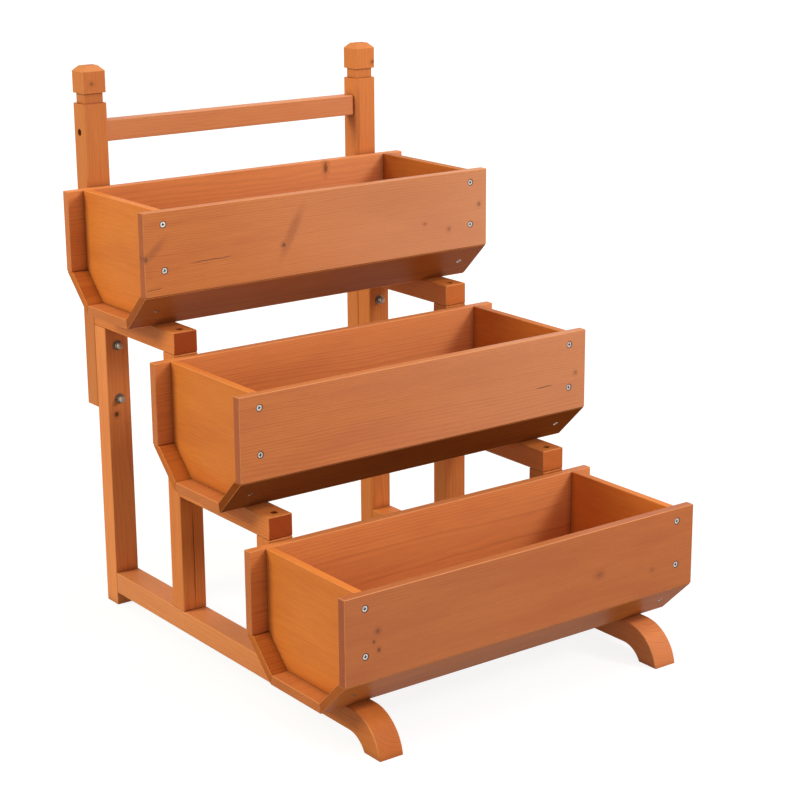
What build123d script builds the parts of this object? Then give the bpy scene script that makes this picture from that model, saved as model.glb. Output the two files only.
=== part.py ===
from build123d import *
import math
import os

# A three-tier stepped planter stand in softwood. All sizes are in millimetres.
# X runs along the planters, +Y points to the back, +Z points up. The origin is on the floor,
# in the middle of the stand's width and depth.

# Planters: three alike, each a trough of long boards closed by two end panels
planter_length = 600.0
planter_depth = 230.0
planter_height = 173.0
slope_rise = 55.0
slope_run = 56.0
wall_thickness = 14.0
base_thickness = 14.0
slope_thickness = 12.0
panel_thickness = 12.0
board_overhang = 25.5
drain_diameter = 10.0
drain_pitch = 110.0
drain_count = 4
board_ease = 1.2

# Frame timber: every leg, rail and post has this section, wide across the stand
timber_width = 38.0
timber_depth = 32.0
timber_ease = 1.6
frame_inset = 41.0

# Places of the planters: the room behind each, the rail that shows before it and the room above
# it to the next rail, and the height of the bottom rails over the floor
planter_gap = 1.5
rail_margin = 0.5
tier_gap = 2.5
floor_gap = 20.0

# Posts and the bar between them
post_length = 506.0
post_lap = 127.0
cap_height = 39.0
cap_bevel = 8.0
neck_height = 15.0
neck_inset = 4.0
crossbar_height = 31.0
crossbar_thickness = 22.0
crossbar_drop = 80.0

# Curved feet
foot_reach = 246.0
toe_radius = 60.5
pad_length = 34.0
arch_radius = 37.0

# Countersunk screws that hold the planter boards
screw_diameter = 4.0
screw_head_diameter = 8.0
screw_head_height = 2.4
screw_length = 35.0
screw_sink = 0.4
screw_point_share = 1.5
screw_tip_share = 0.25
slope_screw_length = 30.0
seat_screw_length = 30.0
screw_from_rim = 18.5
screw_from_board_foot = 35.0
base_screw_spread = 76.0
seat_screw_spread = 60.0

# Long screws that hold the frame, each sunk at the bottom of a wider hole
frame_screw_diameter = 5.0
frame_screw_head_diameter = 9.0
frame_screw_head_height = 3.2
frame_screw_length = 56.0
frame_screw_round_share = 0.33
sink_hole_diameter = 10.5
rail_sink_depth = 12.0
end_sink_depth = 8.0
crossbar_sink_depth = 10.0

# Bolts through post and back leg
bolt_diameter = 6.0
bolt_head_diameter = 11.0
bolt_head_height = 3.4
bolt_socket = 4.0
bolt_round_share = 0.6
bolt_socket_share = 0.6
washer_diameter = 15.0
washer_thickness = 1.4
nut_across_flats = 10.0
nut_hex_height = 5.0
nut_dome_diameter = 9.4
nut_dome_rise = 5.0
nut_dome_share = 0.8
nut_thread_depth = 8.0
upper_bolt_from_leg_top = 28.0
lower_bolt_from_post_foot = 17.0

# Dowels in the joint between bottom rail and foot
dowel_diameter = 8.0
dowel_length = 40.0
dowel_spread = 18.0
dowel_ease = 1.0

# Fits, and how far a hole's cutter runs past an open face
screw_clearance = 0.1
bolt_clearance = 0.25
thread_clearance = 0.05
dowel_clearance = 0.1
cutter_spare = 2.0

# Cross-shaped pockets in the screw heads
recess_width = 1.5
recess_across_share = 0.62
recess_floor_share = 0.4
recess_depth_share = 0.8

# Places worked out from the sizes above
half_length = planter_length / 2
half_depth = planter_depth / 2
tier_rise = planter_height + tier_gap + timber_depth
tier_step = planter_gap + planter_depth + rail_margin
bolt_stands_out = washer_thickness + bolt_head_height
stand_depth = bolt_stands_out + timber_depth + 2 * tier_step + foot_reach
post_back = stand_depth / 2 - bolt_stands_out
post_front = post_back - timber_depth
toe_tip = -stand_depth / 2
rail_tops = [floor_gap + timber_depth + tier * tier_rise for tier in (2, 1, 0)]
upright_fronts = [post_front - tier * tier_step for tier in (0, 1, 2)]
planter_centres = [front - planter_gap - half_depth for front in upright_fronts]
tiers = ["top", "middle", "bottom"]
leg_top = rail_tops[0] - timber_depth
back_leg_front = post_front - timber_depth
post_foot = leg_top - post_lap
post_top = post_foot + post_length
frame_half = half_length - frame_inset
rail_centre_x = frame_half - timber_width / 2
panel_centre_x = half_length - board_overhang - panel_thickness / 2
foot_joint = planter_centres[2]


def section(outline, x_from, x_to, ease):
    """A piece of constant section: an outline of (y, z) points run along X, with eased edges."""
    face = Plane.YZ * make_face(Polyline(*outline, close=True))
    solid = Pos(x_from, 0, 0) * extrude(face, x_to - x_from, dir=(1, 0, 0))
    return fillet(solid.edges(), ease)


def timber(y_from, y_to, z_from, z_to):
    """A straight piece of the left side frame, timber_width across."""
    outline = [(y_from, z_from), (y_to, z_from), (y_to, z_to), (y_from, z_to)]
    return section(outline, -frame_half, timber_width - frame_half, timber_ease)


def placed(solid, point, direction):
    """A fastener drawn with its head up at the origin, moved to a point and driven along a direction."""
    away = Vector(*direction) * -1
    return Plane(origin=point, z_dir=away).location * solid


def cross_recess(head_diameter, head_height):
    """The cross-shaped pocket in a screw's head, open upwards at z = 0 and narrowing to its floor."""
    across = head_diameter * recess_across_share
    depth = head_height * recess_depth_share
    arms = Box(across, recess_width, depth) + Box(recess_width, across, depth)
    return Pos(0, 0, -depth / 2) * (arms & Cone(across / 2 * recess_floor_share, across / 2, depth))


def shank(radius, top, tip):
    """A screw's shank from z = -top to z = -tip, its last stretch pointed."""
    point = screw_point_share * radius
    straight = Pos(0, 0, -(top + tip - point) / 2) * Cylinder(radius, tip - point - top)
    cone = Pos(0, 0, -(tip - point / 2)) * Cone(radius * screw_tip_share, radius, point)
    return straight + cone


def countersunk_screw(length, clearance=0.0, sink=0.0):
    """A countersunk screw with its head's top at z = -screw_sink, or the hole that takes it."""
    head_radius = screw_head_diameter / 2 + clearance
    radius = screw_diameter / 2 + clearance
    top = screw_sink
    head = Pos(0, 0, -top - screw_head_height / 2) * Cone(radius, head_radius, screw_head_height)
    body = head + shank(radius, top + screw_head_height / 2, length + clearance)
    if sink:
        return body + Pos(0, 0, (sink - top) / 2) * Cylinder(head_radius, top + sink)
    return body - Pos(0, 0, -top) * cross_recess(screw_head_diameter, screw_head_height)


def frame_screw():
    """A pan-head screw with its head's top at z = 0."""
    height = frame_screw_head_height
    head = Pos(0, 0, -height / 2) * Cylinder(frame_screw_head_diameter / 2, height)
    head = fillet(head.edges().group_by(Axis.Z)[-1], height * frame_screw_round_share)
    body = head + shank(frame_screw_diameter / 2, height / 2, frame_screw_length)
    return body - cross_recess(frame_screw_head_diameter, height)


def frame_screw_hole(sink_depth):
    """The hole for a frame screw: wide down to sink_depth, then narrow. It is open above z = 0."""
    wide_length = sink_depth + cutter_spare
    wide = Pos(0, 0, cutter_spare - wide_length / 2) * Cylinder(sink_hole_diameter / 2, wide_length)
    under_head = sink_depth - frame_screw_head_height
    radius = frame_screw_diameter / 2 + screw_clearance
    narrow = Pos(0, 0, -under_head) * shank(radius, 0, frame_screw_length + screw_clearance)
    return wide + narrow


def sunk_frame_screw(sink_depth):
    """A frame screw seated on the floor of its wide hole."""
    return Pos(0, 0, frame_screw_head_height - sink_depth) * frame_screw()


def mirrored(solid):
    """The same piece on the other side of the stand."""
    return mirror(solid, about=Plane.YZ)


def gather(pieces):
    """Alike fasteners kept together as one group of separate solids."""
    return Compound(children=[solid for piece in pieces for solid in piece.solids()])


def planter_screw_places():
    """Every screw that holds a planter's boards to its end panels: (point, direction, length)."""
    places = []
    slope_length = math.hypot(slope_rise, slope_run)
    for x in (-panel_centre_x, panel_centre_x):
        for face in (-1, 1):
            y = face * half_depth
            for z in (planter_height - screw_from_rim, slope_rise + screw_from_board_foot):
                places.append(((x, y, z), (0, -face, 0), screw_length))
            inward = (0, -face * slope_rise / slope_length, slope_run / slope_length)
            middle = (x, face * (half_depth - slope_run / 2), slope_rise / 2)
            places.append((middle, inward, slope_screw_length))
            places.append(((x, face * base_screw_spread / 2, 0), (0, 0, 1), screw_length))
    return places


def seat_screw_places():
    """The screws from inside a planter down into the two rails under it."""
    places = []
    for x in (-rail_centre_x, rail_centre_x):
        for y in (-seat_screw_spread / 2, seat_screw_spread / 2):
            places.append(((x, y, base_thickness), (0, 0, -1), seat_screw_length))
    return places


def screws_at(places, clearance=0.0, sink=0.0):
    """Countersunk screws, or with a clearance their holes, at each (point, direction, length)."""
    lengths = {length for point, way, length in places}
    models = {length: countersunk_screw(length, clearance, sink) for length in lengths}
    return [placed(models[length], point, way) for point, way, length in places]


def screw_holes_at(places):
    return screws_at(places, screw_clearance, screw_sink + screw_clearance)


def planter_boards():
    """One planter, centred on X and Y with its underside at z = 0, as a dictionary of its boards."""
    lean = slope_thickness * math.hypot(slope_rise, slope_run) / slope_rise
    base_half = half_depth - slope_run
    mitre_half = base_half + slope_run * base_thickness / slope_rise - lean
    inner_half = half_depth - wall_thickness
    corner_height = slope_rise * (1 + (lean - wall_thickness) / slope_run)

    def wall(face):
        outer, inner = face * half_depth, face * inner_half
        foot_z, top_z = slope_rise, planter_height
        outline = [(outer, foot_z), (inner, foot_z), (inner, top_z), (outer, top_z)]
        return section(outline, -half_length, half_length, board_ease)

    def slope(face):
        outline = [
            (face * half_depth, slope_rise),
            (face * base_half, 0),
            (face * mitre_half, base_thickness),
            (face * (half_depth - lean), slope_rise),
        ]
        return section(outline, -half_length, half_length, board_ease)

    def base():
        outline = [
            (-base_half, 0),
            (base_half, 0),
            (mitre_half, base_thickness),
            (-mitre_half, base_thickness),
        ]
        board = section(outline, -half_length, half_length, board_ease)
        drain = Cylinder(drain_diameter / 2, base_thickness + cutter_spare)
        for number in range(drain_count):
            x = (number - (drain_count - 1) / 2) * drain_pitch
            board -= Pos(x, 0, base_thickness / 2) * drain
        return board

    def end_panel(side):
        outline = [
            (-inner_half, planter_height),
            (-inner_half, corner_height),
            (-mitre_half, base_thickness),
            (mitre_half, base_thickness),
            (inner_half, corner_height),
            (inner_half, planter_height),
        ]
        x_from = side * panel_centre_x - panel_thickness / 2
        return section(outline, x_from, x_from + panel_thickness, board_ease)

    boards = {
        "front_board": wall(-1),
        "back_board": wall(1),
        "front_slope_board": slope(-1),
        "back_slope_board": slope(1),
        "base_board": base(),
        "left_end_panel": end_panel(-1),
        "right_end_panel": end_panel(1),
    }
    holes = screw_holes_at(planter_screw_places() + seat_screw_places())
    return {name: board - holes for name, board in boards.items()}


def post():
    """The left rear post: plain shaft, square neck groove, and a cap with bevelled top edges."""
    middle = (post_front + post_back) / 2
    blank = Box(timber_width, timber_depth, post_length)
    blank = Pos(-rail_centre_x, middle, (post_foot + post_top) / 2) * blank
    blank = chamfer(blank.edges().group_by(Axis.Z)[-1], cap_bevel)
    blank = chamfer(blank.edges().filter_by(Axis.Z), timber_ease)
    neck = Pos(-rail_centre_x, middle, post_top - cap_height - neck_height / 2)
    around = Box(timber_width + cutter_spare, timber_depth + cutter_spare, neck_height)
    inside = Box(timber_width - 2 * neck_inset, timber_depth - 2 * neck_inset, neck_height)
    return blank - neck * (around - inside)


def foot():
    """The left foot: it carries on the bottom rail, then rounds over and drops to the floor."""
    rail_top = rail_tops[2]
    toe_z = rail_top - toe_radius
    toe_y = toe_tip + math.sqrt(toe_radius**2 - toe_z**2)
    toe_turn = 90 + math.degrees(math.asin(toe_z / toe_radius))
    arch_z = floor_gap - arch_radius
    arch_y = toe_tip + pad_length + math.sqrt(arch_radius**2 - arch_z**2)
    arch_turn = 90 + math.degrees(math.asin(arch_z / arch_radius))
    outline = [
        Line((foot_joint, rail_top), (toe_y, rail_top)),
        CenterArc((toe_y, toe_z), toe_radius, 90, toe_turn),
        Line((toe_tip, 0), (toe_tip + pad_length, 0)),
        CenterArc((arch_y, arch_z), arch_radius, 90, arch_turn),
        Line((arch_y, floor_gap), (foot_joint, floor_gap)),
        Line((foot_joint, floor_gap), (foot_joint, rail_top)),
    ]
    face = Plane.YZ * make_face(outline)
    solid = Pos(-frame_half, 0, 0) * extrude(face, timber_width, dir=(1, 0, 0))
    cheeks = solid.edges().group_by(Axis.X)
    return fillet(cheeks[0] + cheeks[-1], timber_ease)


def frame_screw_places():
    """The sunk screws of the left side frame: group name to (point, direction, sink depth)."""
    x = -rail_centre_x
    rail_middles = [top - timber_depth / 2 for top in rail_tops]
    leg_middles = [front + timber_depth / 2 for front in upright_fronts]
    crossbar_middle = post_top - crossbar_drop - crossbar_height / 2
    return {
        "rail_top_screws": [
            ((x, leg_middles[1], rail_tops[0]), (0, 0, -1), rail_sink_depth),
            ((x, leg_middles[2], rail_tops[1]), (0, 0, -1), rail_sink_depth),
        ],
        "rail_end_screws": [
            ((x, post_back, rail_middles[0]), (0, -1, 0), end_sink_depth),
            ((x, upright_fronts[1] + timber_depth, rail_middles[1]), (0, -1, 0), end_sink_depth),
            ((x, post_front, rail_middles[2]), (0, -1, 0), end_sink_depth),
        ],
        "leg_foot_screws": [
            ((x, leg_middles[1], floor_gap), (0, 0, 1), rail_sink_depth),
            ((x, leg_middles[2], floor_gap), (0, 0, 1), rail_sink_depth),
        ],
        "crossbar_screws": [
            ((-frame_half, (post_front + post_back) / 2, crossbar_middle), (1, 0, 0), crossbar_sink_depth),
        ],
    }


def bolt_heights():
    return [leg_top - upper_bolt_from_leg_top, post_foot + lower_bolt_from_post_foot]


def bolt():
    """A round-head bolt with a hexagon socket, its head's underside at z = 0."""
    length = 2 * washer_thickness + 2 * timber_depth + nut_thread_depth - thread_clearance
    head = Pos(0, 0, bolt_head_height / 2) * Cylinder(bolt_head_diameter / 2, bolt_head_height)
    head = fillet(head.edges().group_by(Axis.Z)[-1], bolt_head_height * bolt_round_share)
    hexagon = RegularPolygon(bolt_socket / 2, 6, major_radius=False)
    socket = Pos(0, 0, bolt_head_height * (1 - bolt_socket_share)) * extrude(hexagon, bolt_head_height)
    return head - socket + Pos(0, 0, -length / 2) * Cylinder(bolt_diameter / 2, length)


def washer():
    """A flat washer lying on z = 0."""
    hole = bolt_diameter / 2 + bolt_clearance
    ring = Cylinder(washer_diameter / 2, washer_thickness) - Cylinder(hole, washer_thickness + cutter_spare)
    return Pos(0, 0, washer_thickness / 2) * ring


def cap_nut():
    """A domed nut with its seat on z = 0 and a blind threaded bore."""
    standing = (Align.CENTER, Align.CENTER, Align.MIN)
    corner = nut_across_flats / math.sqrt(3)
    hexagon = extrude(RegularPolygon(nut_across_flats / 2, 6, major_radius=False), nut_hex_height)
    turned = Cylinder(corner, nut_hex_height, align=standing)
    turned = chamfer(turned.edges().group_by(Axis.Z)[0], (corner - nut_across_flats / 2) / 2)
    dome_radius = nut_dome_diameter / 2
    dome = Cylinder(dome_radius, nut_hex_height + nut_dome_rise, align=standing)
    dome = fillet(dome.edges().group_by(Axis.Z)[-1], min(dome_radius, nut_dome_rise) * nut_dome_share)
    bore = Cylinder(bolt_diameter / 2 + thread_clearance, nut_thread_depth, align=standing)
    return (hexagon & turned) + dome - bore


def bolt_hole():
    """A clearance hole through post and back leg, drawn along -Z from the post's back."""
    through = Cylinder(bolt_diameter / 2 + bolt_clearance, 2 * timber_depth + cutter_spare)
    return Pos(0, 0, -timber_depth) * through


def dowels(clearance=0.0):
    """The dowels across the left foot's joint, or with a clearance their holes."""
    rod = Cylinder(dowel_diameter / 2 + clearance, dowel_length + 2 * clearance)
    if not clearance:
        rod = chamfer(rod.edges(), dowel_ease)
    middle = rail_tops[2] - timber_depth / 2
    shifts = (-dowel_spread / 2, dowel_spread / 2)
    return [Pos(shift - rail_centre_x, foot_joint, middle) * Rot(90, 0, 0) * rod for shift in shifts]


def side_frame():
    """The pieces of the left side frame, with every hole cut."""
    uprights = {
        "back_leg": (back_leg_front, 0, leg_top),
        "middle_leg": (upright_fronts[1], rail_tops[2], leg_top),
        "front_leg": (upright_fronts[2], rail_tops[2], rail_tops[1] - timber_depth),
    }
    rails = {
        "top_rail": (upright_fronts[1], upright_fronts[0], rail_tops[0]),
        "middle_rail": (upright_fronts[2], upright_fronts[1], rail_tops[1]),
        "bottom_rail": (foot_joint, back_leg_front, rail_tops[2]),
    }
    pieces = {"post": post(), "front_foot": foot()}
    for name, (front, low, high) in uprights.items():
        pieces[name] = timber(front, front + timber_depth, low, high)
    for name, (front, back, top) in rails.items():
        pieces[name] = timber(front, back, top - timber_depth, top)
    holes = dowels(dowel_clearance)
    for places in frame_screw_places().values():
        holes += [placed(frame_screw_hole(sink), point, way) for point, way, sink in places]
    holes += [placed(bolt_hole(), (-rail_centre_x, post_back, z), (0, -1, 0)) for z in bolt_heights()]
    seat_holes = screw_holes_at([place for place in seat_screw_places() if place[0][0] < 0])
    for y, z in zip(planter_centres, rail_tops):
        holes += [Pos(0, y, z) * hole for hole in seat_holes]
    return {name: piece - holes for name, piece in pieces.items()}


def crossbar():
    """The bar between the posts, in the middle of their depth."""
    middle = (post_front + post_back) / 2
    top = post_top - crossbar_drop
    half = crossbar_thickness / 2
    reach = frame_half - timber_width
    outline = [
        (middle - half, top - crossbar_height),
        (middle + half, top - crossbar_height),
        (middle + half, top),
        (middle - half, top),
    ]
    bar = section(outline, -reach, reach, timber_ease)
    for point, way, sink in frame_screw_places()["crossbar_screws"]:
        hole = placed(frame_screw_hole(sink), point, way)
        bar = bar - hole - mirrored(hole)
    return bar


def frame_fasteners():
    """The left side frame's fasteners, by the name of their group."""
    groups = {name: [] for name in ("post_bolts", "bolt_washers", "cap_nuts")}
    for z in bolt_heights():
        back = (-rail_centre_x, post_back, z)
        front = (-rail_centre_x, back_leg_front, z)
        head_seat = (-rail_centre_x, post_back + washer_thickness, z)
        nut_seat = (-rail_centre_x, back_leg_front - washer_thickness, z)
        groups["post_bolts"].append(placed(bolt(), head_seat, (0, -1, 0)))
        groups["bolt_washers"].append(placed(washer(), back, (0, -1, 0)))
        groups["bolt_washers"].append(placed(washer(), front, (0, 1, 0)))
        groups["cap_nuts"].append(placed(cap_nut(), nut_seat, (0, 1, 0)))
    for name, places in frame_screw_places().items():
        groups[name] = [placed(sunk_frame_screw(sink), point, way) for point, way, sink in places]
    groups["foot_dowels"] = dowels()
    return groups


def build():
    """Every node of the stand by name."""
    nodes = {"crossbar": crossbar()}
    for piece, solid in side_frame().items():
        nodes[f"left_{piece}"] = solid
        nodes[f"right_{piece}"] = mirrored(solid)
    for name, pieces in frame_fasteners().items():
        nodes[name] = gather(pieces + [mirrored(piece) for piece in pieces])
    boards = planter_boards()
    screws = screws_at(planter_screw_places())
    seat_screws = screws_at(seat_screw_places())
    seated = []
    for tier, y, z in zip(tiers, planter_centres, rail_tops):
        lift = Pos(0, y, z)
        for name, board in boards.items():
            nodes[f"{tier}_planter_{name}"] = lift * board
        nodes[f"{tier}_planter_screws"] = gather([lift * screw for screw in screws])
        seated += [lift * screw for screw in seat_screws]
    nodes["seat_screws"] = gather(seated)
    return nodes


os.makedirs("parts", exist_ok=True)
for node, shape in build().items():
    export_step(shape, f"parts/{node}.step")
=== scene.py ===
import math
import random

import bpy
from mathutils import Euler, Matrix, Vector


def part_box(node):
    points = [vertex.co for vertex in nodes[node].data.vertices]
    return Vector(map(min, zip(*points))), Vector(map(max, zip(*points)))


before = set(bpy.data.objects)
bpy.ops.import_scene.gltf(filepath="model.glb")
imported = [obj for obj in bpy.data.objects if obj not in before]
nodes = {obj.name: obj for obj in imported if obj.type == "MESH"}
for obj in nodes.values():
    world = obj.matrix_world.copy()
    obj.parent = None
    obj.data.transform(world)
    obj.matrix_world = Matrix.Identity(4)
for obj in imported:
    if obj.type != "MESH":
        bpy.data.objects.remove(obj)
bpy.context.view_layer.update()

chance = random.Random(11)
X, Y, Z = Vector((1, 0, 0)), Vector((0, 1, 0)), Vector((0, 0, 1))
VALUE, VECTOR, COLOUR = "NodeSocketFloat", "NodeSocketVector", "NodeSocketColor"

# Wood colours, linear
EARLY_WOOD = (0.65, 0.200, 0.040, 1)
LATE_WOOD = (0.44, 0.098, 0.019, 1)
RED_WOOD = (0.46, 0.098, 0.022, 1)
# pale pink veil of painted sheen
PALE_SHEEN = (0.80, 0.420, 0.250, 1)
END_GRAIN = (0.32, 0.056, 0.010, 1)
END_RING = (0.16, 0.028, 0.007, 1)
# painted shade for corners and tight joints
JOINT_SHADE_COLOUR = (0.10, 0.020, 0.006, 1)
# painted highlight on rounded edges
EDGE_HIGHLIGHT_COLOUR = (0.74, 0.300, 0.110, 1)
# brown of resin round knots, also used as painted shadow
BROWN_STAIN_AND_SHADOW = (0.21, 0.050, 0.014, 1)
KNOT = (0.055, 0.017, 0.007, 1)

# Metal colours and roughness, and the painted shade in screw-head pockets
STEEL, STEEL_ROUGH = (0.60, 0.58, 0.56), 0.30
ZINC, ZINC_ROUGH = (0.42, 0.34, 0.28), 0.55
DULL_METAL = 0.72
CLOUD_CELLS, CLOUD_EDGE = (420, 420, 420), (0.35, 0.75)
SCRATCH_CELLS = (2400, 2400, 700)
SCRATCH_ROUGH = 0.22
POCKET_SHADE_COLOUR = (0.020, 0.014, 0.010, 1)

# How far off a wall may be to keep the light from a pocket or a joint, in metres
POCKET_REACH = 0.004
JOINT_REACH = 0.018
# Open share of the sky at which painted shade in pockets and joints and the painted edge highlight begin
# and are full, and how strong the shade gets
POCKET_SHADE_SPREAD = (0.92, 0.45, 0.0, 0.97)
JOINT_SHADE = (0.85, 0.35, 0.0, 0.5)
HIGHLIGHT_OPEN_SKY = (0.75, 0.95)

# Noise drawn out along the grain: cells per metre along and across it, octaves, their roughness
STREAKS = {
    "long bend": (2.2, 6.0, 2.0, 0.5),
    "short bend": (14.0, 60.0, 2.0, 0.5),
    "fibre": (26.0, 900.0, 3.0, 0.6),
    "pore": (160.0, 2600.0, 2.0, 0.6),
    "patch": (5.0, 26.0, 3.0, 0.55),
    "broad": (1.8, 6.0, 1.0, 0.5),
}

# Growth rings: a year's width and how far the rings bend, in metres, then the shares of a year
# between which late wood darkens and ends, and how much the years differ
RING_WIDTH = 0.0030
LONG_BEND, SHORT_BEND = 0.016, 0.0024
LATE_START, LATE_END = (0.25, 0.86), (1.0, 0.93)
YEAR_SPREAD, WEAKEST_YEAR = 0.8, 0.35
# Where the pith lies from a board's middle, in metres, and how far apart the boards' patterns lie
PITH_ASIDE, PITH_DEPTH = 0.06, (0.04, 0.08)
SEED_REACH = 40

# Stain: contrast of the fibres, share of late wood, red patches, stretches of pale painted sheen, light
# and dark
FIBRE_CONTRAST = 1.3
LATE_SHARE, LEAST_LATE = 0.8, 0.1
PATCH_EDGE, PATCH_RED = (0.42, 0.72), 0.30
SHEEN_SPREAD = (0.25, 0.75, 0.7, 1.3)
BROAD_LIGHT, PORE_LIGHT = 0.22, 0.18
END_RING_SHARE = 0.6
# patchy spread of the painted edge highlight
EDGE_HIGHLIGHT_SPREAD = (0.3, 0.65, 0.25, 0.6)

# Roughness of the sides and what fibres and end grain add, and shares in the relief's height
SIDE_ROUGH, FIBRE_ROUGH, END_ROUGH = 0.38, 0.16, 0.18
LATE_HEIGHT, FIBRE_HEIGHT, PORE_HEIGHT, DARK_HEIGHT = 0.35, 0.8, 0.35, -1.2
# Strength of the relief and its depth in metres
WOOD_RELIEF = (0.35, 0.0004)
METAL_RELIEF = (0.2, 0.00008)

# Knots: ragged rim, reach of core and halo in knot sizes, and how far rings swell round them
KNOT_CELLS, KNOT_WOBBLE = (260, 260, 0), 0.9
CORE_REACH, HALO_REACH = (1.25, 0.45), (2.8, 0.6)
RING_SWELL = 0.004
ENDLESS = 100

# Cracks: how they wander, in metres, their soft rim in widths, and their fading ends
CRACK_CELLS, CRACK_WOBBLE = (70, 0, 0), 0.003
CRACK_RIM = (1.0, 0.3)
CRACK_IN, CRACK_OUT = (0.0, 0.25), (1.0, 0.7)

# Wall screws: their places from a board's middle, the head's radius and its dark rim of stain and
# painted shadow, in metres
SCREW_PLACES = [(0.2685, 0.0405), (0.2685, -0.024)]
SCREW_RING, RIM_WIDTH, RIM_DARK = 0.0043, 0.0018, 0.95

# Where a face's direction turns it into end grain, and where it is the round of an edge
END_FACE = (0.55, 0.8)
EDGE_ROUND = (0.995, 0.93)

# Floor: reach in metres, grey for the stand's light and for shadows seen, and its own paleness
FLOOR_REACH = 40.0
FLOOR_GREY, SHADOW_GREY = (0.35, 0.35, 0.35, 1), (0.20, 0.20, 0.20, 1)
GLOW_SPREAD = (0.9, 2.6, 0.86, 1.0)

AMBIENT = (0.57, 0.54, 0.49, 1)
WHITE = (1, 1, 1, 1)

# Soft boxes: place, side in metres, power in watts and colour, all facing the stand's middle
LAMP_TARGET = (0, 0, 0.35)
LAMPS = {
    "key": ((2.0, -2.6, 2.4), 1.0, 68, (0.99, 0.98, 1.0)),
    "left": ((-3.9, 1.5, 2.7), 1.7, 128, (1.0, 1.0, 0.70)),
    "front": ((0.3, -3.4, 0.8), 1.6, 28, (1.0, 0.97, 0.92)),
    "top": ((0.3, -0.2, 3.6), 1.8, 26, (1.0, 0.97, 0.97)),
}

# Camera: place in metres, lens and film in millimetres, and its turns in degrees
CAMERA_PLACE = (-1.6254, -2.2619, 1.1450)
LENS, FILM_WIDTH = 90.6, 36.0
CAMERA_DIP, CAMERA_HEADING, CAMERA_ROLL = 15.96, -36.60, -0.39
NEAR, FAR = 0.05, 200.0


class Graph:
    """A node tree with short ways to add nodes and wire them."""

    def __init__(self, tree):
        self.tree = tree

    def put(self, socket, value):
        if isinstance(value, bpy.types.NodeSocket):
            self.tree.links.new(value, socket)
        else:
            socket.default_value = value

    def add(self, kind, inputs, **settings):
        made = self.tree.nodes.new(kind)
        for name, value in settings.items():
            setattr(made, name, value)
        for name, value in inputs.items():
            self.put(made.inputs[name], value)
        return made

    def calc(self, operation, *values, clamp=False):
        made = self.add("ShaderNodeMath", {}, operation=operation, use_clamp=clamp)
        for socket, value in zip(made.inputs, values):
            self.put(socket, value)
        return made.outputs[0]

    def vector(self, operation, *values):
        made = self.add("ShaderNodeVectorMath", {}, operation=operation)
        for socket, value in zip(made.inputs, values):
            self.put(socket, value)
        return made.outputs["Value" if operation in ("DOT_PRODUCT", "LENGTH") else "Vector"]

    def ramp(self, value, low, high, start=0.0, end=1.0, smooth=True):
        """A soft or straight step from start at low to end at high."""
        inputs = {"Value": value, "From Min": low, "From Max": high, "To Min": start, "To Max": end}
        kind = "SMOOTHSTEP" if smooth else "LINEAR"
        return self.add("ShaderNodeMapRange", inputs, interpolation_type=kind).outputs["Result"]

    def noise(self, place, detail=2.0, roughness=0.5):
        inputs = {"Vector": place, "Scale": 1.0, "Detail": detail, "Roughness": roughness}
        return self.add("ShaderNodeTexNoise", inputs).outputs["Fac"]

    def streak(self, place, kind):
        """Noise drawn out along the grain."""
        along, across, detail, roughness = STREAKS[kind]
        stretched = self.vector("MULTIPLY", place, (along, across, across))
        return self.noise(stretched, detail, roughness)

    def sway(self, noise, amount, value):
        """A value that a noise moves up and down."""
        return self.calc("MULTIPLY_ADD", self.calc("SUBTRACT", noise, 0.5), amount, value)

    def mix(self, amount, first, second, blend="MIX"):
        made = self.add("ShaderNodeMix", {}, data_type="RGBA", blend_type=blend)
        self.put(made.inputs[0], amount)
        self.put(made.inputs[6], first)
        self.put(made.inputs[7], second)
        return made.outputs[2]

    def surface(self, relief, height, inputs):
        """The material's shader, with a fine relief."""
        strength, depth = relief
        bump = self.add("ShaderNodeBump", {"Height": height, "Strength": strength, "Distance": depth})
        inputs = {**inputs, "Normal": bump.outputs["Normal"]}
        shader = self.add("ShaderNodeBsdfPrincipled", inputs)
        self.add("ShaderNodeOutputMaterial", {"Surface": shader.outputs["BSDF"]})


def new_group(name, inputs, outputs):
    """An empty shader node group, its graph and its input and output nodes."""
    group = bpy.data.node_groups.new(name, "ShaderNodeTree")
    for label, kind in inputs.items():
        group.interface.new_socket(name=label, in_out="INPUT", socket_type=kind)
    for label, kind in outputs.items():
        group.interface.new_socket(name=label, in_out="OUTPUT", socket_type=kind)
    graph = Graph(group)
    return graph, graph.add("NodeGroupInput", {}).outputs, graph.add("NodeGroupOutput", {}).inputs


def new_material(name):
    """An empty material and its graph."""
    material = bpy.data.materials.new(name)
    material.use_nodes = True
    material.node_tree.nodes.clear()
    return material, Graph(material.node_tree)


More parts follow.
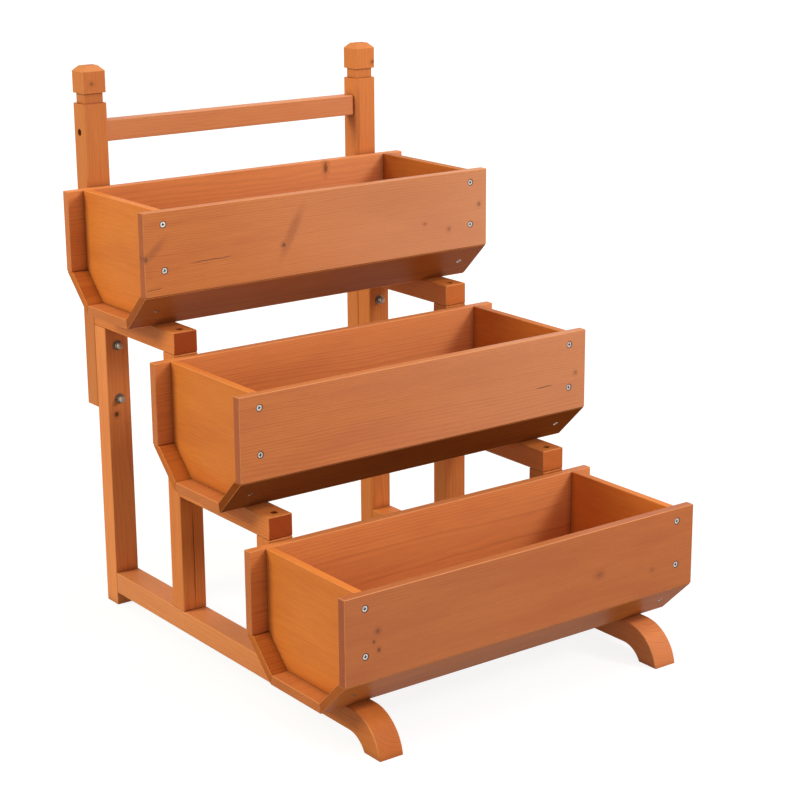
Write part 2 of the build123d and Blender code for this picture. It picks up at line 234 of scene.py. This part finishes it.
def knot_group():
    """A knot or a smear of resin on a board's face, turned round its middle; the same smear also serves
    as painted shadow. Rings bend round it.
    """
    vectors = dict.fromkeys(("Board", "Centre", "Size"), VECTOR)
    inputs = {**vectors, **dict.fromkeys(("Turn", "Core", "Halo"), VALUE)}
    outputs = dict.fromkeys(("Dark", "Brown", "Lift"), VALUE)
    graph, given, result = new_group("knot", inputs, outputs)
    wobble = graph.noise(graph.vector("MULTIPLY", given["Board"], KNOT_CELLS))
    turned = {"Vector": given["Board"], "Center": given["Centre"], "Angle": given["Turn"]}
    place = graph.add("ShaderNodeVectorRotate", turned, rotation_type="Z_AXIS").outputs["Vector"]
    offset = graph.vector("SUBTRACT", place, given["Centre"])
    distance = graph.vector("LENGTH", graph.vector("DIVIDE", offset, given["Size"]))
    distance = graph.sway(wobble, KNOT_WOBBLE, distance)
    halo = graph.ramp(distance, *HALO_REACH)
    swell = graph.calc("MULTIPLY", halo, given["Core"])
    graph.put(result["Dark"], graph.calc("MULTIPLY", graph.ramp(distance, *CORE_REACH), given["Core"]))
    graph.put(result["Brown"], graph.calc("MULTIPLY", halo, given["Halo"]))
    graph.put(result["Lift"], graph.calc("MULTIPLY", swell, RING_SWELL))
    return graph.tree


def crack_group():
    """A thin dark check along the grain from one point to another."""
    inputs = {"Board": VECTOR, "Start": VECTOR, "End": VECTOR, "Width": VALUE}
    graph, given, result = new_group("crack", inputs, {"Dark": VALUE})
    at, start, end = [
        graph.add("ShaderNodeSeparateXYZ", {"Vector": given[label]}).outputs
        for label in ("Board", "Start", "End")
    ]
    length = graph.calc("SUBTRACT", end[0], start[0])
    share = graph.calc("DIVIDE", graph.calc("SUBTRACT", at[0], start[0]), length)
    level = graph.calc("MULTIPLY_ADD", share, graph.calc("SUBTRACT", end[1], start[1]), start[1])
    wobble = graph.noise(graph.vector("MULTIPLY", given["Board"], CRACK_CELLS), 3.0)
    level = graph.sway(wobble, CRACK_WOBBLE, level)
    away = graph.calc("ABSOLUTE", graph.calc("SUBTRACT", at[1], level))
    line = graph.ramp(graph.calc("DIVIDE", away, given["Width"]), *CRACK_RIM)
    inside = graph.calc("MULTIPLY", graph.ramp(share, *CRACK_IN), graph.ramp(share, *CRACK_OUT))
    graph.put(result["Dark"], graph.calc("MULTIPLY", line, inside))
    return graph.tree


def ring_group():
    """The dark rim round a screw head: crushed, stained wood and painted countersink shadow."""
    graph, given, result = new_group("screw rim", {"Board": VECTOR, "Centre": VECTOR}, {"Dark": VALUE})
    offset = graph.vector("SUBTRACT", given["Board"], given["Centre"])
    distance = graph.vector("LENGTH", graph.vector("MULTIPLY", offset, (1, 1, 0)))
    rim = graph.ramp(distance, SCREW_RING + RIM_WIDTH, SCREW_RING, 0.0, RIM_DARK)
    graph.put(result["Dark"], rim)
    return graph.tree


def late_wood(graph, given, place):
    """How dark the growth rings are, from 0 in early wood to 1 at the end of a strong year."""
    offset = graph.vector("SUBTRACT", given["Board"], given["Pith"])
    radius = graph.vector("LENGTH", graph.vector("MULTIPLY", offset, (0, 1, 1)))
    radius = graph.sway(graph.streak(place, "long bend"), LONG_BEND, radius)
    radius = graph.sway(graph.streak(place, "short bend"), SHORT_BEND, radius)
    radius = graph.calc("ADD", radius, given["Lift"])
    count = graph.calc("DIVIDE", radius, RING_WIDTH)
    season = graph.calc("FRACT", count)
    late = graph.calc("MULTIPLY", graph.ramp(season, *LATE_START), graph.ramp(season, *LATE_END))
    year = {"W": graph.calc("FLOOR", count)}
    strength = graph.add("ShaderNodeTexWhiteNoise", year, noise_dimensions="1D").outputs["Value"]
    strength = graph.calc("MULTIPLY_ADD", strength, YEAR_SPREAD, WEAKEST_YEAR)
    return graph.calc("MULTIPLY", late, strength)


def stained(graph, given, late, noise):
    """Colour of the stained wood on the sides and on the end grain."""
    figure = graph.calc("MULTIPLY", late, given["Figure"])
    fibres = graph.sway(noise["fibre"], FIBRE_CONTRAST, figure)
    fibres = graph.calc("MULTIPLY_ADD", fibres, LATE_SHARE, LEAST_LATE, clamp=True)
    colour = graph.mix(fibres, EARLY_WOOD, LATE_WOOD)
    patch = graph.ramp(noise["patch"], *PATCH_EDGE)
    colour = graph.mix(graph.calc("MULTIPLY_ADD", patch, PATCH_RED, given["Red"]), colour, RED_WOOD)
    # painted sheen: a pale pink veil mixed in, in broad stretches and growing toward one end of the
    # piece
    spread = graph.ramp(noise["broad"], *SHEEN_SPREAD, smooth=False)
    colour = graph.mix(graph.calc("MULTIPLY", given["Sheen"], spread), colour, PALE_SHEEN)
    light = graph.sway(noise["broad"], BROAD_LIGHT, given["Tone"])
    light = graph.sway(noise["pore"], PORE_LIGHT, light)
    grey = dict.fromkeys(("Red", "Green", "Blue"), light)
    shade = graph.add("ShaderNodeCombineColor", grey).outputs["Color"]
    colour = graph.mix(1.0, colour, shade, "MULTIPLY")
    ring = graph.mix(graph.calc("MULTIPLY", late, END_RING_SHARE), END_GRAIN, END_RING)
    return graph.mix(given["End"], colour, ring)


def painted_light_and_marks(graph, given, colour, patch):
    """The same with painted highlights on open edges, brown resin stain and painted shadow, knots and
    painted shade in tight joints and corners.
    """
    sky = graph.add("ShaderNodeAmbientOcclusion", {"Distance": JOINT_REACH}, samples=6).outputs["AO"]
    open_edge = graph.calc("MULTIPLY", given["Edge"], graph.ramp(sky, *HIGHLIGHT_OPEN_SKY))
    edge_highlight = graph.calc("MULTIPLY", open_edge, graph.ramp(patch, *EDGE_HIGHLIGHT_SPREAD))
    # painted highlight: rounded edges with open sky made lighter, as where they catch the light
    colour = graph.mix(edge_highlight, colour, EDGE_HIGHLIGHT_COLOUR)
    # brown of resin round knots, and painted shadow where a smear stands for shade
    colour = graph.mix(given["Brown"], colour, BROWN_STAIN_AND_SHADOW)
    colour = graph.mix(given["Dark"], colour, KNOT)
    # painted shade: corners and tight joints darkened where the ambient occlusion finds little open sky
    return graph.mix(graph.ramp(sky, *JOINT_SHADE), colour, JOINT_SHADE_COLOUR)


def wood_group():
    """Stained softwood with growth rings round a pith that runs along the board."""
    labels = ("Figure", "Tone", "Red", "Sheen", "End", "Edge", "Lift", "Brown", "Dark")
    inputs = {**dict.fromkeys(("Board", "Seed", "Pith"), VECTOR), **dict.fromkeys(labels, VALUE)}
    outputs = {"Color": COLOUR, "Roughness": VALUE, "Height": VALUE}
    graph, given, result = new_group("stained softwood", inputs, outputs)
    place = graph.vector("ADD", given["Board"], given["Seed"])
    late = late_wood(graph, given, place)
    noise = {kind: graph.streak(place, kind) for kind in ("fibre", "pore", "patch", "broad")}
    colour = stained(graph, given, late, noise)
    graph.put(result["Color"], painted_light_and_marks(graph, given, colour, noise["patch"]))

    rough = graph.calc("MULTIPLY_ADD", noise["fibre"], FIBRE_ROUGH, SIDE_ROUGH)
    graph.put(result["Roughness"], graph.calc("MULTIPLY_ADD", given["End"], END_ROUGH, rough))
    height = graph.calc("MULTIPLY", noise["fibre"], FIBRE_HEIGHT)
    height = graph.calc("MULTIPLY_ADD", late, LATE_HEIGHT, height)
    height = graph.calc("MULTIPLY_ADD", noise["pore"], PORE_HEIGHT, height)
    graph.put(result["Height"], graph.calc("MULTIPLY_ADD", given["Dark"], DARK_HEIGHT, height))
    return graph.tree


groups = {"knot": knot_group(), "crack": crack_group(), "ring": ring_group(), "wood": wood_group()}


def knot(along, across, length, width, turn=0, core=0.8, halo=0.25):
    """A knot by its place from the board's middle, half sizes in metres and turn in degrees."""
    return {
        "Centre": (along, across, 0),
        "Size": (length, width, ENDLESS),
        "Turn": math.radians(turn),
        "Core": core,
        "Halo": halo,
    }


def crack(start, end, width):
    """A check between two places on a board's face."""
    return {"Start": (*start, 0), "End": (*end, 0), "Width": width}


def marked(graph, board, look):
    """How dark, brown and swollen a board is through its knots, cracks and screws, and through smears of
    painted shadow made like knots.
    """

    def mark(kind, values):
        return graph.add("ShaderNodeGroup", {"Board": board, **values}, node_tree=groups[kind]).outputs

    dark, brown, lift = 0.0, 0.0, 0.0
    for values in look["knots"]:
        made = mark("knot", values)
        dark = graph.calc("MAXIMUM", dark, made["Dark"])
        brown = graph.calc("MAXIMUM", brown, made["Brown"])
        lift = graph.calc("ADD", lift, made["Lift"])
    for values in look["cracks"]:
        dark = graph.calc("MAXIMUM", dark, mark("crack", values)["Dark"])
    if look["screws"]:
        both_ends = graph.vector("ABSOLUTE", graph.vector("MULTIPLY", board, (1, 0, 0)))
        board = graph.vector("ADD", both_ends, graph.vector("MULTIPLY", board, (0, 1, 1)))
    for along, across in look["screws"]:
        dark = graph.calc("MAXIMUM", dark, mark("ring", {"Centre": (along, across, 0)})["Dark"])
    return {"Dark": dark, "Brown": brown, "Lift": lift}


def wood(name, along, across, turned, look):
    """Material of one wooden piece, its grain along one direction.

    A turned piece has no flat side but its cheeks. A pale veil of painted sheen is mixed in by the
    first share of pale at the piece's one end and by the second at the other.
    """
    material, graph = new_material(f"wood_{name}")
    low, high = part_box(name)
    middle = (low + high) / 2
    half = (high - middle).dot(along)
    axes = (along, across, along.cross(across))
    here = graph.add("ShaderNodeTexCoord", {}).outputs
    offset = graph.vector("SUBTRACT", here["Object"], middle)
    parts = {label: graph.vector("DOT_PRODUCT", offset, axis) for label, axis in zip("XYZ", axes)}
    board = graph.add("ShaderNodeCombineXYZ", parts).outputs["Vector"]

    facing = [graph.calc("ABSOLUTE", graph.vector("DOT_PRODUCT", here["Normal"], axis)) for axis in axes]
    if turned:
        facing[2] = graph.calc("SQRT", graph.calc("SUBTRACT", 1.0, graph.calc("POWER", facing[1], 2.0)))
    squarest = graph.calc("MAXIMUM", graph.calc("MAXIMUM", facing[0], facing[1]), facing[2])

    marks_here = marked(graph, board, look)
    seed = [chance.uniform(-SEED_REACH, SEED_REACH) for axis in axes]
    pith = look["pith"]
    if not pith:
        aside = chance.uniform(-PITH_ASIDE, PITH_ASIDE)
        pith = (aside, chance.choice((-1, 1)) * chance.uniform(*PITH_DEPTH))
    values = {
        "Board": board,
        "Seed": seed,
        "Pith": (0, *pith),
        "Figure": look["figure"],
        "Tone": look["tone"],
        "Red": look["red"],
        "Sheen": graph.ramp(parts["X"], -half, half, *look["pale"]),
        "End": graph.ramp(facing[0], *END_FACE, 0.0, look["end"]),
        "Edge": graph.ramp(squarest, *EDGE_ROUND),
        **marks_here,
    }
    made = graph.add("ShaderNodeGroup", values, node_tree=groups["wood"]).outputs
    inputs = {
        "Base Color": made["Color"],
        "Roughness": made["Roughness"],
        "Specular IOR Level": look["gloss"],
    }
    graph.surface(WOOD_RELIEF, made["Height"], inputs)
    return material


def metal(name, colour, roughness):
    """Zinc-plated steel with fine scratches, uneven plating and painted shade in its pockets."""
    material, graph = new_material(name)
    place = graph.add("ShaderNodeTexCoord", {}).outputs["Object"]
    fine = graph.noise(graph.vector("MULTIPLY", place, SCRATCH_CELLS), 3.0)
    cloudy = graph.noise(graph.vector("MULTIPLY", place, CLOUD_CELLS))
    darker = [DULL_METAL * part for part in colour]
    shade = graph.mix(graph.ramp(cloudy, *CLOUD_EDGE), (*colour, 1), (*darker, 1))
    sky = graph.add("ShaderNodeAmbientOcclusion", {"Distance": POCKET_REACH}, samples=8).outputs["AO"]
    # painted shade: screw-head recesses darkened by the ambient occlusion
    shade = graph.mix(graph.ramp(sky, *POCKET_SHADE_SPREAD), shade, POCKET_SHADE_COLOUR)
    rough = graph.calc("MULTIPLY_ADD", fine, SCRATCH_ROUGH, roughness)
    graph.surface(METAL_RELIEF, fine, {"Base Color": shade, "Metallic": 1.0, "Roughness": rough})
    return material


# Direction of the grain and of the width of each kind of piece
SLOPE_RUN, SLOPE_RISE = 56, 55
kinds = {
    "front_board": (X, Z),
    "back_board": (X, Z),
    "front_slope_board": (X, Vector((0, -SLOPE_RUN, SLOPE_RISE)).normalized()),
    "back_slope_board": (X, Vector((0, SLOPE_RUN, SLOPE_RISE)).normalized()),
    "base_board": (X, Y),
    "end_panel": (Y, Z),
    "crossbar": (X, Z),
    "post": (Z, X),
    "leg": (Z, X),
    "rail": (Y, X),
    "foot": (Y, X),
    "dowels": (Y, X),
}

# Looks of all wood, then of each kind, then of single pieces: strength of the figure, tone, red
# share of the stain, pale share of painted sheen, end grain, gloss and marks
plain_look = {
    "figure": 0.55,
    "tone": 1.0,
    "red": 0.0,
    "pale": (0.0, 0.0),
    "end": 0.30,
    "gloss": 0.25,
    "pith": None,
    "knots": [],
    "cracks": [],
    "screws": [],
}
looks = {
    "front_board": {"end": 0.7, "gloss": 0.3, "tone": 0.90, "screws": SCREW_PLACES},
    "back_board": {
        # tone and pale share raised: painted sheen on the boards' inner faces
        "tone": 1.10,
        "pale": (0.10, 0.22),
        "gloss": 0.14,
        # not a knot: painted shadow darkening the left overhang, which the end panel shades
        "knots": [knot(-0.290, 0.0, 0.009, 0.060, core=0.0, halo=0.18)],
        "screws": SCREW_PLACES,
    },
    "front_slope_board": {"gloss": 0.04, "tone": 0.58, "red": 0.3, "pale": (0.04, 0.0)},
    "back_slope_board": {"gloss": 0.04},
    "base_board": {"gloss": 0.08, "pale": (0.12, 0.0)},
    "end_panel": {"figure": 0.14, "gloss": 0.08, "tone": 1.06},
    "crossbar": {"figure": 0.35, "tone": 0.92, "pale": (0.10, 0.10), "gloss": 0.4},
    "post": {"figure": 0.32, "gloss": 0.08, "pale": (0.08, 0.08)},
    "rail": {"end": 1.0, "tone": 1.10, "gloss": 0.08, "pale": (0.05, 0.05)},
    "leg": {"tone": 1.10, "gloss": 0.08, "pale": (0.05, 0.05)},
    "foot": {"pale": (0.08, 0.08), "gloss": 0.10},
}
marks = {
    "top_planter_front_board": {
        "knots": [
            knot(-0.072, -0.0128, 0.0034, 0.0034, core=0.55, halo=0.45),
            knot(-0.058, 0.004, 0.020, 0.0042, turn=-62, core=0.0, halo=0.38),
            knot(0.181, -0.013, 0.0030, 0.0022, core=0.30),
            knot(0.2267, -0.0262, 0.0030, 0.0030, core=0.30),
            knot(0.285, 0.0055, 0.0030, 0.0035, core=0.45),
            knot(-0.2975, -0.005, 0.0030, 0.0045, core=0.6),
            knot(-0.284, 0.005, 0.013, 0.0032, turn=-42, core=0.0, halo=0.38),
        ],
        "cracks": [
            crack((-0.233, -0.0186), (-0.150, -0.0172), 0.0007),
            crack((-0.300, -0.0500), (-0.270, -0.0470), 0.0006),
        ],
        "pith": (0.10, 0.06),
        "tone": 0.87,
        # painted sheen growing toward the right end
        "pale": (0.0, 0.36),
    },
    "top_planter_back_board": {
        "knots": [
            # painted shadow on the left overhang, weaker here
            knot(-0.290, 0.0, 0.009, 0.060, core=0.0, halo=0.05),
            knot(0.1508, 0.047, 0.0042, 0.0090, core=0.6),
        ],
    },
    "middle_planter_front_board": {
        "knots": [knot(0.281, -0.0035, 0.0030, 0.0030, core=0.35)],
        "cracks": [crack((0.203, -0.0158), (0.240, -0.0146), 0.0008)],
        "pith": (-0.09, 0.09),
        "tone": 0.84,
        "red": 0.10,
        # painted sheen growing toward the right end
        "pale": (0.06, 0.28),
    },
    "bottom_planter_front_board": {
        "knots": [
            knot(-0.249, 0.006, 0.0034, 0.0034, core=0.4, halo=0.4),
            knot(-0.2553, -0.007, 0.0024, 0.0024, core=0.7),
            knot(-0.2477, -0.0198, 0.0030, 0.0030, core=0.7),
            knot(0.125, -0.006, 0.0060, 0.0040, core=0.25, halo=0.35),
            knot(0.223, -0.0217, 0.0034, 0.0026, core=0.25),
        ],
        "pith": (0.12, -0.05),
        "tone": 0.73,
        "red": 0.34,
        "pale": (0.05, 0.0),
    },
    "middle_planter_front_slope_board": {"tone": 0.34, "gloss": 0.0},
    "bottom_planter_front_slope_board": {"tone": 0.72, "red": 0.1},
    "top_planter_right_end_panel": {"tone": 0.77, "red": 0.1},
    "middle_planter_right_end_panel": {"tone": 0.92, "red": 0.1},
    "left_back_leg": {
        # tone and pale share raised: painted light making up for the planters' shade on the leg's front
        "tone": 1.26,
        "pale": (0.16, 0.16),
        "knots": [knot(0.0838, -0.0057, 0.0042, 0.0042)],
    },
    "left_front_foot": {"tone": 0.98, "pale": (0.02, 0.02)},
    "right_front_foot": {"tone": 1.12, "red": 0.15, "pale": (0.18, 0.18)},
    "left_post": {
        "tone": 0.92,
        "knots": [
            knot(0.2277, -0.0044, 0.0028, 0.0030, core=0.4),
            knot(-0.161, 0.012, 0.0028, 0.0024),
        ],
    },
    "right_post": {
        "tone": 1.02,
        "knots": [
            knot(0.2229, 0.0151, 0.0030, 0.0036, core=0.5),
            knot(0.130, -0.0145, 0.030, 0.0022, core=0.0, halo=0.4),
        ],
    },
    "right_top_rail": {"end": 0.4},
    "right_middle_rail": {"end": 0.5},
    "left_middle_leg": {"cracks": [crack((-0.19, 0.001), (-0.02, 0.001), 0.0008)]},
    "left_bottom_rail": {
        "tone": 1.10,
        "pale": (0.14, 0.18),
        "knots": [knot(-0.0835, 0.010, 0.0040, 0.0032)],
    },
}


def wood_of(name):
    """Material of a wooden piece by the kind that its name ends with."""
    kind = max((kind for kind in kinds if name.endswith(kind)), key=len)
    along, across = kinds[kind]
    look = {**plain_look, **looks.get(kind, {}), **marks.get(name, {})}
    return wood(name, along, across, kind == "foot", look)


def dress_pieces():
    """Each piece gets its own wood or one of the two metals."""
    steel = metal("screw_steel", STEEL, STEEL_ROUGH)
    zinc = metal("bolt_steel", ZINC, ZINC_ROUGH)
    for name, piece in sorted(nodes.items()):
        if name.endswith("screws"):
            material = steel
        elif name in ("post_bolts", "bolt_washers", "cap_nuts"):
            material = zinc
        else:
            material = wood_of(name)
        for slot in piece.material_slots:
            slot.material = material


def seen(graph):
    """1 for rays that show the surface: straight, mirrored or through glass."""
    path = graph.add("ShaderNodeLightPath", {}).outputs
    shown = graph.calc("MAXIMUM", path["Is Camera Ray"], path["Is Glossy Ray"])
    return graph.calc("MAXIMUM", shown, path["Is Transmission Ray"])


def floor_material():
    """A plain grey floor that looks pale and keeps its shadows where it is seen."""
    material, graph = new_material("floor")
    plain = graph.add("ShaderNodeBsdfDiffuse", {"Color": FLOOR_GREY})
    pale = graph.add("ShaderNodeBsdfDiffuse", {"Color": SHADOW_GREY})
    away = graph.vector("LENGTH", graph.add("ShaderNodeTexCoord", {}).outputs["Object"])
    strength = graph.ramp(away, *GLOW_SPREAD)
    glow = graph.add("ShaderNodeEmission", {"Color": WHITE, "Strength": strength})
    shown = graph.add("ShaderNodeAddShader", {})
    graph.put(shown.inputs[0], pale.outputs["BSDF"])
    graph.put(shown.inputs[1], glow.outputs["Emission"])
    both = graph.add("ShaderNodeMixShader", {"Fac": seen(graph)})
    graph.put(both.inputs[1], plain.outputs["BSDF"])
    graph.put(both.inputs[2], shown.outputs["Shader"])
    graph.add("ShaderNodeOutputMaterial", {"Surface": both.outputs["Shader"]})
    return material


def add_floor():
    """A wide flat floor under the stand."""
    mesh = bpy.data.meshes.new("floor")
    sides = ((-1, -1), (1, -1), (1, 1), (-1, 1))
    corners = [(x * FLOOR_REACH, y * FLOOR_REACH, 0) for x, y in sides]
    mesh.from_pydata(corners, [], [(0, 1, 2, 3)])
    floor = bpy.data.objects.new("floor", mesh)
    bpy.context.collection.objects.link(floor)
    mesh.materials.append(floor_material())


def add_world():
    """A white backdrop that lights the stand with a warm grey."""
    world = bpy.data.worlds.new("studio")
    bpy.context.scene.world = world
    world.use_nodes = True
    world.node_tree.nodes.clear()
    graph = Graph(world.node_tree)
    sky = graph.mix(seen(graph), AMBIENT, WHITE)
    background = graph.add("ShaderNodeBackground", {"Color": sky, "Strength": 1.0})
    graph.add("ShaderNodeOutputWorld", {"Surface": background.outputs["Background"]})


def add_lamp(name, place, size, power, colour):
    """A square soft box at a place, facing the stand."""
    data = bpy.data.lights.new(name, "AREA")
    data.shape = "SQUARE"
    data.size = size
    data.energy = power
    data.color = colour
    lamp = bpy.data.objects.new(name, data)
    lamp.location = place
    lamp.rotation_euler = (Vector(LAMP_TARGET) - Vector(place)).to_track_quat("-Z", "Y").to_euler()
    lamp.visible_camera = False
    bpy.context.collection.objects.link(lamp)


def add_camera():
    """The camera at the photograph's place."""
    data = bpy.data.cameras.new("camera")
    data.sensor_width = FILM_WIDTH
    data.lens = LENS
    data.clip_start, data.clip_end = NEAR, FAR
    camera = bpy.data.objects.new("camera", data)
    bpy.context.collection.objects.link(camera)
    camera.location = CAMERA_PLACE
    aim = Euler((math.radians(90 - CAMERA_DIP), 0, math.radians(CAMERA_HEADING)), "XYZ").to_matrix()
    roll = Euler((0, 0, math.radians(CAMERA_ROLL)), "XYZ").to_matrix()
    camera.rotation_euler = (aim @ roll).to_euler()
    bpy.context.scene.camera = camera


dress_pieces()
add_floor()
add_world()
for name, lamp in LAMPS.items():
    add_lamp(name, *lamp)
add_camera()
bpy.context.scene.view_settings.view_transform = "Standard"
